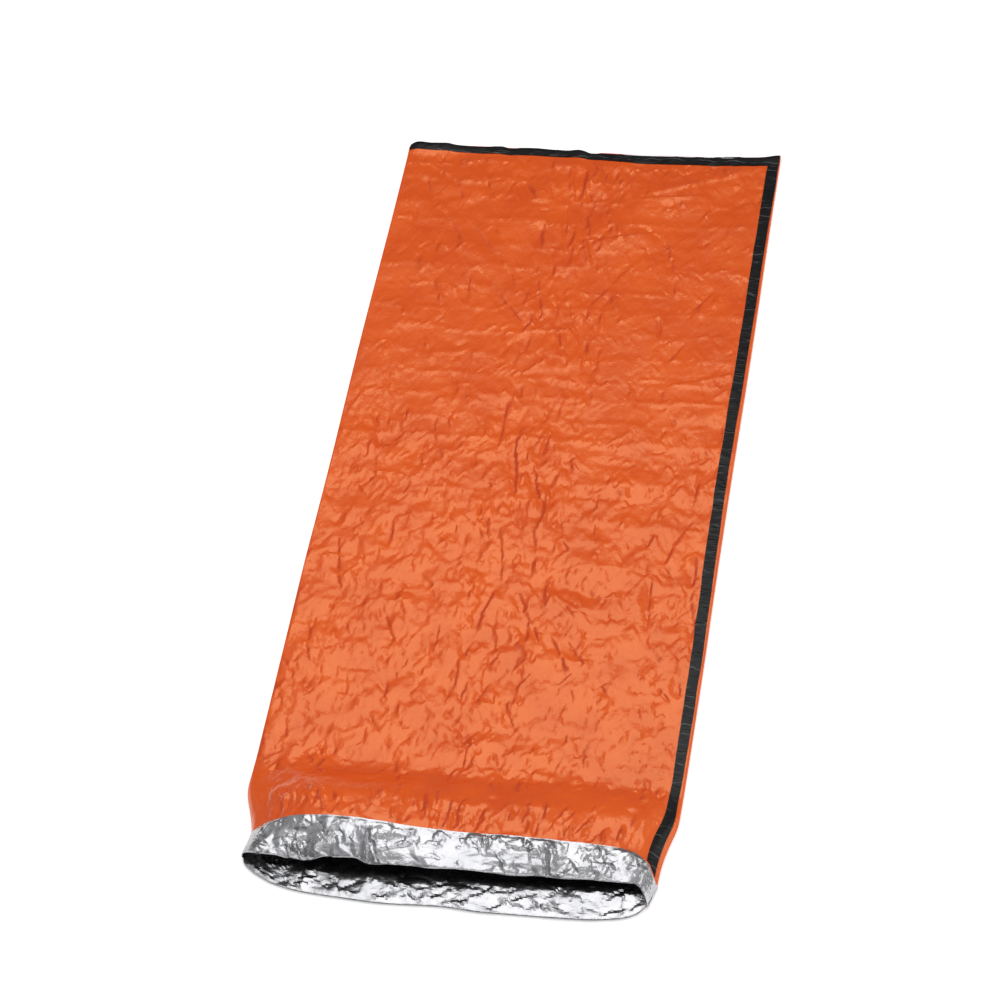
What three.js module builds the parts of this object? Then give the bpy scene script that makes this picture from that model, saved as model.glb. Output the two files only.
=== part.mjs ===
// Emergency sleeping bag: a tube of orange plastic film, silvered on its inner face, laid out
// flat. It is folded along its left side, taped along its right side and across its foot, and
// its open mouth is turned outward into a silver cuff and stands a little open.
// Millimetres, +Z up, the foot at +Y, the mouth at -Y, the origin on the surface under the middle.
import * as THREE from 'three';

// Driving dimensions
const BAG_WIDTH = 914;
const BAG_LENGTH = 2134;
const FILM = 1.3;
const TAPE = 1.0;
const TAPE_SEAT = 0.4;
const CUFF_GAP = 0.5;
const FOLD_PITCH = 63;
const MOUTH_START = 355;
const LOWER_CUFF = 40;

// Heights over the surface
const FLAT_TOP = 7;
const FOLD_TIP = 3.2;

// How far the film at the sides wanders in from the full width, and over what lengths
const SIDE_WANDER = { inward: 0.9, left: 190, right: 230 };
const SIDE_CORNER = 1.2;

// The folds across the bag: height over and under the flat film, and how that varies across it
const FOLD_HEIGHT = { least: 0.4, most: 2.0, across: 140, turn: 1.7 };
const FOOT_TO_FIRST_FOLD = 60;

// How far the doubled film of the cuff stands out from the tube
const CUFF_STACK = CUFF_GAP + FILM;

// The lower film is raised by the cuff under it between these shares of the way to the mouth
const LOWER_RAMP = { start: 0.8, end: 0.93 };

// The cuff bulges fully where its raw edge is high, and not at all where it lies on the surface
const BULGE_HEIGHT = { none: 10, full: 50 };

// The mouth's upper side, from the left fold to the right one: where each column of film meets the
// lip, how high the lip is, and where the cuff's raw edge comes back to and how high that is.
const MOUTH_TOP = [
  { x: -442, lipY: 95, lipZ: 12, edgeY: 121, edgeZ: 8 },
  { x: -440, lipY: 93, lipZ: 22, edgeY: 124, edgeZ: 13 },
  { x: -430, lipY: 88, lipZ: 37, edgeY: 138, edgeZ: 24 },
  { x: -396, lipY: 82, lipZ: 51, edgeY: 154, edgeZ: 42 },
  { x: -361, lipY: 80, lipZ: 52, edgeY: 160, edgeZ: 62 },
  { x: -330, lipY: 79, lipZ: 46, edgeY: 162, edgeZ: 76 },
  { x: -300, lipY: 78, lipZ: 40, edgeY: 162, edgeZ: 83 },
  { x: -249, lipY: 80, lipZ: 60, edgeY: 162, edgeZ: 87 },
  { x: -183, lipY: 80, lipZ: 66, edgeY: 162, edgeZ: 84 },
  { x: -164, lipY: 80, lipZ: 44, edgeY: 162, edgeZ: 82 },
  { x: -120, lipY: 80, lipZ: 46, edgeY: 162, edgeZ: 75 },
  { x: -77, lipY: 80, lipZ: 48, edgeY: 162, edgeZ: 67 },
  { x: -38, lipY: 80, lipZ: 47, edgeY: 162, edgeZ: 62 },
  { x: -4, lipY: 80, lipZ: 48, edgeY: 162, edgeZ: 59 },
  { x: 34, lipY: 80, lipZ: 49, edgeY: 162, edgeZ: 56 },
  { x: 78, lipY: 81, lipZ: 45, edgeY: 162, edgeZ: 57 },
  { x: 124, lipY: 83, lipZ: 39, edgeY: 162, edgeZ: 59 },
  { x: 179, lipY: 86, lipZ: 34, edgeY: 162, edgeZ: 56 },
  { x: 222, lipY: 87, lipZ: 34, edgeY: 162, edgeZ: 54 },
  { x: 268, lipY: 87, lipZ: 35, edgeY: 162, edgeZ: 51 },
  { x: 318, lipY: 86, lipZ: 36, edgeY: 162, edgeZ: 47 },
  { x: 360, lipY: 85, lipZ: 38, edgeY: 160, edgeZ: 38 },
  { x: 388, lipY: 84, lipZ: 40, edgeY: 154, edgeZ: 23 },
  { x: 409, lipY: 83, lipZ: 38, edgeY: 112, edgeZ: 16 },
  { x: 434, lipY: 84, lipZ: 24, edgeY: 108, edgeZ: 10 },
  { x: 444, lipY: 86, lipZ: 15, edgeY: 107, edgeZ: 8 },
  { x: 446, lipY: 88, lipZ: 9, edgeY: 106, edgeZ: 6 },
];
const TAPE_COLUMNS = { inner: 23, outer: 24 };

// The mouth's lower side, from the right fold back to the left one: the bowed front of the lip
const MOUTH_BOTTOM = [
  { x: 443, lipY: 68 },
  { x: 428, lipY: 34 },
  { x: 378, lipY: 10 },
  { x: 300, lipY: 1 },
  { x: 200, lipY: 0 },
  { x: 95, lipY: 0 },
  { x: 0, lipY: 6 },
  { x: -115, lipY: 3 },
  { x: -220, lipY: 9 },
  { x: -310, lipY: 18 },
  { x: -372, lipY: 33 },
  { x: -424, lipY: 58 },
  { x: -438, lipY: 74 },
];

// How the film climbs from the flat bag to the cuff's raw edge: share of the way, share of the rise
const MOUTH_RISE = [
  { way: 0.16, rise: 0.08 },
  { way: 0.36, rise: 0.35 },
  { way: 0.58, rise: 0.68 },
  { way: 0.78, rise: 0.88 },
  { way: 0.94, rise: 0.98 },
  { way: 1.0, rise: 1.0 },
];

// Share of the way from the raw edge to the lip, and how much the cuff bulges there
const CUFF_ROWS = [
  { way: 0.35, bulge: 4 },
  { way: 0.7, bulge: 4 },
  { way: 0.95, bulge: 1 },
];

// The foot's outline: how far its edge stands out from or falls short of a straight one
const FOOT_EDGE = [
  { x: -457, out: -2 },
  { x: -370, out: -3 },
  { x: -270, out: -8 },
  { x: -190, out: -10 },
  { x: -40, out: -10 },
  { x: -12, out: -18 },
  { x: 15, out: -12 },
  { x: 130, out: -15 },
  { x: 310, out: -11 },
  { x: 440, out: 0 },
  { x: 457, out: 0 },
];

// The foot tape's width on the top face
const FOOT_TAPE = [
  { x: -457, width: 17 },
  { x: -190, width: 19 },
  { x: 0, width: 20 },
  { x: 190, width: 27 },
  { x: 457, width: 24 },
];
const FOOT_TAPE_SETBACK = 2.5;

// The side tape's edges, measured in from the right fold
const SIDE_TAPE_AT_FOOT = { inner: 28.5, outer: 2.5 };
const SIDE_TAPE_AT_MOUTH = { inner: 38, outer: 12 };

// Main creases of the upper film: soft ridges (height over 0) and troughs (height under 0)
const CREASES = [
  { x0: -4, y0: 2080, x1: -4, y1: 360, height: 1.4, width: 26 },
  { x0: 420, y0: 2097, x1: 70, y1: 1970, height: 2.0, width: 34 },
  { x0: -238, y0: 1855, x1: -45, y1: 1585, height: -1.6, width: 30 },
  { x0: 155, y0: 1920, x1: 255, y1: 1770, height: 1.5, width: 30 },
  { x0: -100, y0: 1560, x1: -38, y1: 1175, height: -2.0, width: 34 },
  { x0: 56, y0: 1645, x1: 168, y1: 1235, height: -2.0, width: 34 },
  { x0: 368, y0: 1125, x1: 343, y1: 920, height: 2.4, width: 30 },
  { x0: -382, y0: 920, x1: -363, y1: 775, height: -1.5, width: 28 },
  { x0: 44, y0: 812, x1: 193, y1: 618, height: 2.2, width: 34 },
  { x0: -13, y0: 618, x1: -26, y1: 385, height: -1.6, width: 26 },
];

const lerp = THREE.MathUtils.lerp;

// Straight-line reading of a table between its rows
function read(table, key, value, column) {
  let before = table[0];
  let after = table[table.length - 1];
  for (const row of table) {
    if (row[key] <= value) before = row;
  }
  for (const row of [...table].reverse()) {
    if (row[key] >= value) after = row;
  }
  const span = after[key] - before[key];
  return span > 0 ? lerp(before[column], after[column], (value - before[key]) / span) : before[column];
}

function distanceToSegment(x, y, crease) {
  const along = new THREE.Vector2(crease.x1 - crease.x0, crease.y1 - crease.y0);
  const point = new THREE.Vector2(x - crease.x0, y - crease.y0);
  const share = THREE.MathUtils.clamp(point.dot(along) / along.lengthSq(), 0, 1);
  return point.sub(along.multiplyScalar(share)).length();
}

function creaseHeight(x, y) {
  let height = 0;
  for (const crease of CREASES) {
    height += crease.height * Math.exp(-((distanceToSegment(x, y, crease) / crease.width) ** 2));
  }
  return height;
}

// The stored bag was folded back and forth across its length, so the folds go up and down in turn
function foldHeight(x, fold) {
  const way = fold % 2 === 0 ? 1 : -1;
  const share = (1 + Math.sin(x / FOLD_HEIGHT.across + fold * FOLD_HEIGHT.turn)) / 2;
  return way * lerp(FOLD_HEIGHT.least, FOLD_HEIGHT.most, share);
}

// Plan of the bag: half width on each side, a little uneven along its length
function halfWidth(side, y) {
  const wander = side < 0 ? Math.sin(y / SIDE_WANDER.left) : Math.sin(y / SIDE_WANDER.right + 1);
  return BAG_WIDTH / 2 - SIDE_WANDER.inward * (1 - wander);
}

// Rows of film from the foot to where the mouth starts to rise. A row's y can differ by column:
// back is how far a row lies from the foot's edge, top is the height of the upper film there.
const foldCount = Math.floor((BAG_LENGTH - FOOT_TO_FIRST_FOLD - MOUTH_START) / FOLD_PITCH);
const footRows = [
  { back: () => 0, top: 3.2 },
  { back: () => FOOT_TAPE_SETBACK, top: 4.4 },
  { back: (x) => (FOOT_TAPE_SETBACK + footTapeEnd(x)) / 2, top: 5.2 },
  { back: footTapeEnd, top: 6.0 },
];

function footTapeEnd(x) {
  return FOOT_TAPE_SETBACK + read(FOOT_TAPE, 'x', x, 'width');
}

function footEdge(x) {
  return BAG_LENGTH + read(FOOT_EDGE, 'x', x, 'out');
}

// The columns' places across the flat bag, as shares of the half width
const lastColumn = MOUTH_TOP.length - 1;
const columnShare = (row) => row.x / (row.x < 0 ? -MOUTH_TOP[0].x : MOUTH_TOP[lastColumn].x);

// The columns at the side tape's edges keep the tape's distance from the right fold
function flatX(row, index, isTop, y) {
  const share = columnShare(row);
  if (isTop && (index === TAPE_COLUMNS.inner || index === TAPE_COLUMNS.outer)) {
    const edge = index === TAPE_COLUMNS.inner ? 'inner' : 'outer';
    const toFoot = THREE.MathUtils.clamp((y - MOUTH_START) / (BAG_LENGTH - MOUTH_START), 0, 1);
    return halfWidth(1, y) - lerp(SIDE_TAPE_AT_MOUTH[edge], SIDE_TAPE_AT_FOOT[edge], toFoot);
  }
  if (isTop && index === TAPE_COLUMNS.outer + 1) return halfWidth(1, y) - SIDE_CORNER;
  return share * halfWidth(share, y);
}

const isFold = (index) => index === 0 || index === lastColumn;

// One ring of points round the film: the upper film from left to right, the lower film back
function ring(topPoint, bottomPoint) {
  return [...MOUTH_TOP.map(topPoint), ...MOUTH_BOTTOM.map(bottomPoint)];
}

function footRing(footRow) {
  const place = (row, index, isTop) => {
    const x = flatX(row, index, isTop, BAG_LENGTH);
    return new THREE.Vector3(x, footEdge(x) - footRow.back(x), 0);
  };
  return ring(
    (row, index) => place(row, index, true).setZ(isFold(index) ? footRow.top / 2 : footRow.top),
    (row, index) => place(row, index, false),
  );
}

function foldRing(fold) {
  const y = MOUTH_START + (foldCount - fold) * FOLD_PITCH;
  const top = (row, index) => {
    const x = flatX(row, index, true, y);
    const z = isFold(index) ? FOLD_TIP : FLAT_TOP + foldHeight(x, fold) + creaseHeight(x, y);
    return new THREE.Vector3(x, y, z);
  };
  return ring(top, (row, index) => new THREE.Vector3(flatX(row, index, false, y), y, 0));
}

// A ring in the mouth: way and rise run from 0 at the flat bag to 1 at the cuff's raw edge
function mouthRing({ way, rise }) {
  const top = (row, index) => {
    const start = foldRing(foldCount)[index];
    const edge = new THREE.Vector3(row.x, row.edgeY, row.edgeZ - CUFF_STACK);
    const height = lerp(start.z, edge.z, rise);
    return new THREE.Vector3(lerp(start.x, edge.x, way), lerp(start.y, edge.y, way), height);
  };
  const bottom = (row, index) => {
    const startX = flatX(row, index, false, MOUTH_START);
    const y = lerp(MOUTH_START, row.lipY + LOWER_CUFF, way);
    const raised = THREE.MathUtils.smoothstep(way, LOWER_RAMP.start, LOWER_RAMP.end) * CUFF_STACK;
    return new THREE.Vector3(lerp(startX, row.x, way), y, raised);
  };
  return ring(top, bottom);
}

// A ring between the cuff's raw edge (way 0) and its lip (way 1)
function cuffRing({ way, bulge }) {
  const top = (row) => {
    const raised = THREE.MathUtils.smoothstep(row.edgeZ, BULGE_HEIGHT.none, BULGE_HEIGHT.full);
    const z = lerp(row.edgeZ, row.lipZ, way) - CUFF_STACK + bulge * raised;
    return new THREE.Vector3(row.x, lerp(row.edgeY, row.lipY, way), z);
  };
  const bottom = (row) => new THREE.Vector3(row.x, row.lipY + LOWER_CUFF * (1 - way), CUFF_STACK);
  return ring(top, bottom);
}

// Moves a ring outward (or inward when distance is negative) in its own cross-section
function offset(points, distance) {
  const count = points.length;
  return points.map((point, index) => {
    const before = points[(index + count - 1) % count];
    const after = points[(index + 1) % count];
    const first = new THREE.Vector2(point.x - before.x, point.z - before.z).normalize();
    const second = new THREE.Vector2(after.x - point.x, after.z - point.z).normalize();
    const along = first.add(second).normalize();
    return new THREE.Vector3(point.x - along.y * distance, point.y, point.z + along.x * distance);
  });
}

function facesBetween(rings, faces) {
  const count = rings[0].length;
  for (let i = 0; i < rings.length - 1; i++) {
    for (let j = 0; j < count; j++) {
      const a = i * count + j;
      const b = i * count + ((j + 1) % count);
      faces.push(a, a + count, b, b, a + count, b + count);
    }
  }
}

// Closes an end ring. The ring is flattened across its own cross-section to find its triangles.
function cap(points, start, flat, outward, faces) {
  const contour = points.map(flat);
  for (const [a, b, c] of THREE.ShapeUtils.triangulateShape(contour, [])) {
    const normal = new THREE.Vector3();
    new THREE.Triangle(points[a], points[b], points[c]).getNormal(normal);
    if (normal.dot(outward) > 0) faces.push(start + a, start + b, start + c);
    else faces.push(start + a, start + c, start + b);
  }
}

function skin(rings, capped) {
  const faces = [];
  facesBetween(rings, faces);
  const count = rings[0].length;
  cap(rings[0], 0, capped.flat, capped.first, faces);
  cap(rings[rings.length - 1], (rings.length - 1) * count, capped.flat, capped.last, faces);
  const geometry = new THREE.BufferGeometry();
  const positions = rings.flat().flatMap((point) => [point.x, point.y, point.z]);
  geometry.setAttribute('position', new THREE.Float32BufferAttribute(positions, 3));
  geometry.setIndex(faces);
  geometry.computeVertexNormals();
  return geometry;
}

// The rings that the pieces share, from the foot to the lip
const foot = footRows.map(footRing);
const folds = Array.from({ length: foldCount + 1 }, (_, fold) => foldRing(fold));
const mouth = MOUTH_RISE.map(mouthRing);
const cuff = CUFF_ROWS.map(cuffRing);
const lip = cuffRing({ way: 1, bulge: 0 });

// The film: outer face to the lip, back under the cuff to its raw edge, over the cuff to the lip
// again, and down the inside to the foot.
function filmGeometry() {
  const outside = [...foot, ...folds, ...mouth, ...cuff];
  const cuffBase = [mouth[mouth.length - 1], ...cuff];
  const cuffUnder = [...cuffBase].reverse().map((points) => offset(points, CUFF_GAP));
  const cuffOver = cuffBase.map((points) => offset(points, CUFF_STACK));
  const nose = offset(lip, CUFF_STACK / 2);
  const insideRows = [...foot.slice(1), ...folds, ...mouth, ...cuff];
  const inside = insideRows.reverse().map((points) => offset(points, -FILM));
  return skin([...outside, ...cuffUnder, ...cuffOver, nose, ...inside], {
    flat: (point) => new THREE.Vector2(point.x, point.z),
    first: new THREE.Vector3(0, 1, 0),
    last: new THREE.Vector3(0, -1, 0),
  });
}

// A strip of tape on the upper film, over the given rows of rings and columns of each
function tapeGeometry(rows, columns) {
  const under = rows.map((points) => offset(points, TAPE_SEAT));
  const over = rows.map((points) => offset(points, TAPE_SEAT + TAPE));
  const rings = columns.map((column) => {
    const top = over.map((points) => points[column]);
    const bottom = under.map((points) => points[column]);
    return [...top.reverse(), ...bottom];
  });
  return skin(rings, {
    flat: (point) => new THREE.Vector2(point.y, point.z),
    first: new THREE.Vector3(-1, 0, 0),
    last: new THREE.Vector3(1, 0, 0),
  });
}

// The foot tape runs along the foot from fold to fold
function footTapeGeometry() {
  return tapeGeometry(foot.slice(1), MOUTH_TOP.map((_, index) => index).slice(1, -1));
}

// The side tape covers the seam, from the foot tape to the cuff
function sideTapeGeometry() {
  const footEnd = foot[foot.length - 1].map((point) => point.clone().setY(point.y - TAPE_SEAT));
  return tapeGeometry([footEnd, ...folds, ...mouth.slice(0, -1)], [TAPE_COLUMNS.inner, TAPE_COLUMNS.outer]);
}

const filmMaterial = new THREE.MeshStandardMaterial({ color: 0xe15a23, roughness: 0.38, metalness: 0 });
const tapeMaterial = new THREE.MeshStandardMaterial({ color: 0x1c1a1b, roughness: 0.3, metalness: 0 });

function piece(name, geometry, material) {
  const mesh = new THREE.Mesh(geometry, material);
  mesh.name = name;
  return mesh;
}

const group = new THREE.Group();
group.add(piece('film', filmGeometry(), filmMaterial));
group.add(piece('side_tape', sideTapeGeometry(), tapeMaterial));
group.add(piece('foot_tape', footTapeGeometry(), tapeMaterial));

// Brings the middle of the bag's outline over the origin
const box = new THREE.Box3().setFromObject(group);
group.position.set(-(box.min.x + box.max.x) / 2, -(box.min.y + box.max.y) / 2, -box.min.z);

export default group;
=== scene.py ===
"""Looks of an emergency sleeping bag, laid out flat with its mouth turned back into a cuff.

The film is one thin closed mesh, orange outside and silver inside, on nearly the same tables as its
solid in the part's source, with the photo's folds, creases and crumples laid into it. Two strips of black
tape lie on it. Sizes are in millimetres, with x across the bag, y from the front of the mouth to the
foot and z up. They become the frame's metres where the meshes are made.
"""

import math

import bpy
import numpy as np
from mathutils import Matrix
from mathutils import Vector
from mathutils.geometry import delaunay_2d_cdt


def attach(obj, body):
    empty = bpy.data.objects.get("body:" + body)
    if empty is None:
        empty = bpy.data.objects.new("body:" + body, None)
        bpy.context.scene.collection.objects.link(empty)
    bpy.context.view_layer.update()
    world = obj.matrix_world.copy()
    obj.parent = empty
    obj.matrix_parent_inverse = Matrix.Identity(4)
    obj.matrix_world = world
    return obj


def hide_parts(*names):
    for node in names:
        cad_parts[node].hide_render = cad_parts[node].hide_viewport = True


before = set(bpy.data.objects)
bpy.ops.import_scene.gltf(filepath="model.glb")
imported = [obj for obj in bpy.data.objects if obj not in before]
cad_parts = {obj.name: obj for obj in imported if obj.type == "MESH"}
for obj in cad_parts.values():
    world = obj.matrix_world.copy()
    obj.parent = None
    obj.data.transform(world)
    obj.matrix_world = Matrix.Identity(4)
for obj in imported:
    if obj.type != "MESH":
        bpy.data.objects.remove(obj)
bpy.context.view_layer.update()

# Driving dimensions of the bag, as in the part's source
LENGTH = 2134
HALF_WIDTH = 457
MOUTH_START = 355
FLAT_TOP = 7
FOLD_TIP = 3.2
FILM = 1.3
CUFF_GAP = 0.5
CUFF_STACK = CUFF_GAP + FILM
LOWER_CUFF = 40
SIDE_WANDER = 0.9
SIDE_WANDER_LENGTHS = (190, 230)
LOWER_RAMP = (0.8, 0.93)
BULGE_HEIGHTS = (10, 50)

# Lengths along the upper film: up to the cuff's raw edge, and from there to the lip
RISE_LENGTH = 209
CUFF_LENGTH = 85

# Shape of the film at its sides, its foot, its inside and its lips
SIDE_ROUND = 4.5
EDGE_TURN = (0.35, 1.0)
FOOT_ROUND = 60
FOOT_START = 6
FOOT_EASE = 70
LIFT_REACH = 22
INNER_DROP = 4.8
INSIDE_INSET = 5
CORNER_REACH = 48
LIP_INSET = 3
LIP_SPAN = 6
LIP_END = 8
LIP_HEIGHT = 6.5
LIP_ANGLES = (60, 20, -20, -60)
LIP_FLATNESS = 0.8

# Steps of the mesh where it shows. The distances are those of the first rows and columns at its edges.
COLUMN_STEP = 5.0
ROW_STEP = 5.95
CUFF_STEP = 2.5
LOWER_STEP = 3.5
INNER_STEP = 4.8
EDGE_DISTANCES = (0, 1.5, 4, 8)
SIDE_INSET = 14

# Steps of the mouth's inner face, finer down to the depth that shows than deeper in
SEEN_DEPTH = 132
SEEN_COLUMN_STEP = 9
DEEP_START = 145
DEEP_STEP = 15
DEEP_COLUMN_STEP = 24

# Steps of the mesh under the bag, under the cuff and inside the flat bag
UNDERSIDE_COLUMNS = np.array([-1, -0.985, -0.95, -0.88, -0.6, -0.2, 0.2, 0.6, 0.88, 0.95, 0.985, 1])
HIDDEN_COLUMNS = 49
HIDDEN_WAYS = np.array([0.0, 0.35, 0.7, 1.0])
NEAR_LIP = 0.96
INSIDE_COLUMNS = 25
INSIDE_BACKS = np.concatenate([np.arange(LENGTH - MOUTH_START - 20, 90, -60), np.arange(80, 7, -9)])

# Where the film's relief dies down, as distances from the sides and the foot and as places along the bag
MOUTH_SIDE_CALM = 95
BAG_SIDE_CALM = 11
SIDE_CALM_CHANGE = (270, 360)
FOOT_CALM = (18, 40)
RAW_EDGE_CALM = (146, 158)
TAPE_CALM = 0.75
TAPE_CALM_EDGE = (-6, 2)
DEEPEST_NEAR_MOUTH = -2.4
DEEPEST_RELIEF = -3.8
DEEPEST_CHANGE = (380, 480)

# Slopes down to the left, from which shade painted into the film's colour starts to darken it and where
# that painted shade is darkest
PAINTED_SHADE_SLOPES = (0.1, 0.3)

# The heights and the widths of the listed creases are multiplied by these
MAIN_CREASE = {"height": 1.45, "left": 0.6, "right": 1.8}

# The folds across are broken ridges from here to the foot, and dents or ridges nearer the mouth
RIDGES_FROM = 1100
RIDGE_WIDTHS = (12, 5)
DENT_WIDTHS = (5, 9)
FOLD_HALF = 450

# Short wrinkles that fan out from the folds
FAN_WIDTHS = (3.5, 6)
FAN_HALF = 446

# How the folds across wander: height, length and start of each wave
FOLD_WANDER = ((2.5, 140, 0), (1.5, 53, 1))

# How far the film leans between the folds, how much that differs by patches, and how it fades to the foot
FOLD_LEAN = 0.5
FOLD_LEAN_SPREAD = 1.3
FOLD_PATCH = 110
FOLD_SHIFT = 977
FOLD_STRENGTHS = (1.3, 0.7)
FOLD_STRENGTH_CHANGE = (1200, 1700)

# Broad waves of the film: height, size and seed
BROAD_WAVES = ((1.8, 210, 21), (1.0, 95, 22))

# The film is crumpled everywhere, and more near the mouth, along the middle and at the foot
CRUMPLED = {"everywhere": 0.4, "near": 0.75, "middle": 0.5, "foot": 0.6, "most": 1.5}
CRUMPLED_NEAR = (-1500, -900)
CRUMPLED_MIDDLE = 20
CRUMPLED_MIDDLE_WIDTH = 90
CRUMPLED_FOOT = (1930, 1980)

# Crumples of the cuff and of the lower film's silver face: mean and least height, and where they die down
CUFF_CRUMPLE = 3.0
CUFF_LEAST = 0.5
CUFF_EDGE_CALM = (0, 12)
CUFF_SIDE_CALM = (4, 50)
LOWER_CRUMPLE = 4.5
LOWER_LEAST = 0.4
LOWER_SIDE_CALM = (0, 60)
LOWER_LIP_CALM = (0, 14)
LOWER_DEPTH_CALM = (50, 95)


def table(text):
    """A short table, as one array for each of the columns that its first line names"""
    names, *rows = (line.split() for line in text.strip().splitlines())
    return dict(zip(names, np.array(rows, float).T))


# The mouth's upper side: each column of film at the lip and at the cuff's raw edge
MOUTH_TOP = table(
    """
    x lip_x lip_y lip_z edge_x edge_y edge_z
    -442 -441 93 10 -432 128 8
    -440 -438 92 22 -431 132 14
    -430 -428 88 37 -426 141 25
    -396 -396 82 51 -397 155 42
    -361 -361 80 52 -361 160 62
    -330 -330 79 46 -330 162 76
    -300 -300 78 40 -300 162 83
    -249 -249 80 60 -249 162 87
    -183 -183 80 66 -183 162 84
    -164 -164 80 44 -164 162 82
    -120 -120 80 46 -120 162 75
    -77 -77 80 48 -77 162 67
    -38 -38 80 47 -38 162 62
    -4 -4 80 48 -4 162 59
    34 34 80 49 34 162 56
    78 78 81 45 78 162 57
    124 124 83 39 124 162 59
    179 179 86 34 179 162 56
    222 222 87 34 222 162 54
    268 268 87 35 268 162 51
    318 318 86 36 318 162 47
    360 358 85 37 362 160 42
    388 384 84 38 392 155 38
    409 402 84 38 412 144 33
    425 413 84 35 425 135 27
    434 420 76 25 432 124 21
    440 427 65 16 438 112 14
    444 431 55 11 443 103 9
    446 433 47 8 447 97 6
    """
)

# The front of the mouth's lower side, from the left fold to the right one
MOUTH_BOTTOM = table(
    """
    x y
    -441 93
    -436 76
    -419 62
    -396 48
    -356 31
    -300 19
    -220 12
    -115 6
    0 9
    95 3
    200 3
    300 4
    378 13
    414 27
    426 38
    433 47
    """
)

# How the upper film climbs to the cuff's raw edge, as shares of the way and of the rise
MOUTH_RISE = table(
    """
    way rise
    0 0
    0.12 0.06
    0.3 0.37
    0.48 0.7
    0.62 0.87
    0.78 0.94
    0.94 0.985
    1 1
    """
)

# How the cuff bulges between its raw edge and its lip
CUFF_BULGE = table(
    """
    way bulge
    0 0
    0.35 4
    0.7 4
    0.95 1
    1 0
    """
)

# The foot's outline against a straight one, and how far the taped edge curls up
FOOT_EDGE = table(
    """
    x out lift
    -457 -5 1
    -448 3 5
    -430 6 10
    -395 4 9
    -365 5.5 9
    -334 1 7
    -274 -1 6
    -230 2.5 6
    -199 -3 5
    -181 0.5 5
    -155 1.5 5
    -66 -3 5
    -37 2 4
    -21 -2 4
    -6 -7 3
    8 -5 3
    22 -2 3
    125 -4 3
    200 -3 3
    300 -5 3
    329 -2 3
    387 -3 4
    415 -1 5
    443 4 6
    457 6 6
    """
)

# The foot tape's width, and how much of the film shows beyond it
FOOT_TAPE = table(
    """
    x width beyond
    -457 15 1
    -190 19 1
    -20 20 1
    20 22 3
    190 27 4
    300 27 2
    457 24 1
    """
)

# The side tape's edges, measured in from the right fold
SIDE_TAPE = table(
    f"""
    y inner outer
    120 26 4
    190 28 6
    300 28 8
    484 29 6
    850 31 7
    1200 33 9
    {LENGTH} 28.5 2.5
    """
)

# Where the two folds bow outward along the bag
SIDE_BOW = table(
    f"""
    y left right
    140 2 2
    200 6 9
    250 9 14
    355 7 15
    640 8 14
    860 9 11
    1020 7 9
    1200 5 7
    1500 4 5
    1900 1 1
    {LENGTH} 0 0
    """
)

# Folds across the bag, from its storage folded back and forth
FOLD_LINES = np.array(
    [385, 450, 520, 590, 650, 710, 770, 835, 897, 958, 1020, 1085, 1135, 1190]
    + [1245, 1305, 1365, 1430, 1491, 1566, 1630, 1695, 1762, 1830, 1903, 1965, 2033, 2085],
    dtype=float,
)


def curve(rows, name, at):
    """A table's column, read at places along its first column on a smooth curve that never overshoots"""
    places, values = rows[next(iter(rows))], rows[name]
    steps = np.diff(places)
    rises = np.diff(values) / steps
    before, after = rises[:-1], rises[1:]
    same_way = before * after > 0
    inner = np.where(same_way, 2 * before * after / np.where(same_way, before + after, 1), 0)
    slopes = np.concatenate([rises[:1], inner, rises[-1:]])
    at = np.clip(at, places[0], places[-1])
    i = np.clip(np.searchsorted(places, at) - 1, 0, len(places) - 2)
    t = (at - places[i]) / steps[i]
    start = values[i] * (1 + 2 * t) * (1 - t) ** 2 + slopes[i] * steps[i] * t * (1 - t) ** 2
    end = values[i + 1] * t**2 * (3 - 2 * t) + slopes[i + 1] * steps[i] * t**2 * (t - 1)
    return start + end


def lerp(a, b, share):
    """From a to b by a share"""
    return a + (b - a) * share


def ease(value, low, high):
    """0 below low, 1 above high, and a soft step between them"""
    t = np.clip((value - low) / (high - low), 0, 1)
    return t * t * (3 - 2 * t)


def noise(x, y, size, seed):
    """Smooth random heights from -1 to 1, in patches of about the given size"""
    spots = 64
    lattice = np.random.default_rng(seed).uniform(-1, 1, (spots, spots))
    column, row = np.floor(x / size).astype(int), np.floor(y / size).astype(int)
    u, v = ease(x / size - column, 0, 1), ease(y / size - row, 0, 1)

    def value(down, right):
        return lattice[(row + down) % spots, (column + right) % spots]

    return lerp(lerp(value(0, 0), value(0, 1), u), lerp(value(1, 0), value(1, 1), u), v)


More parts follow.
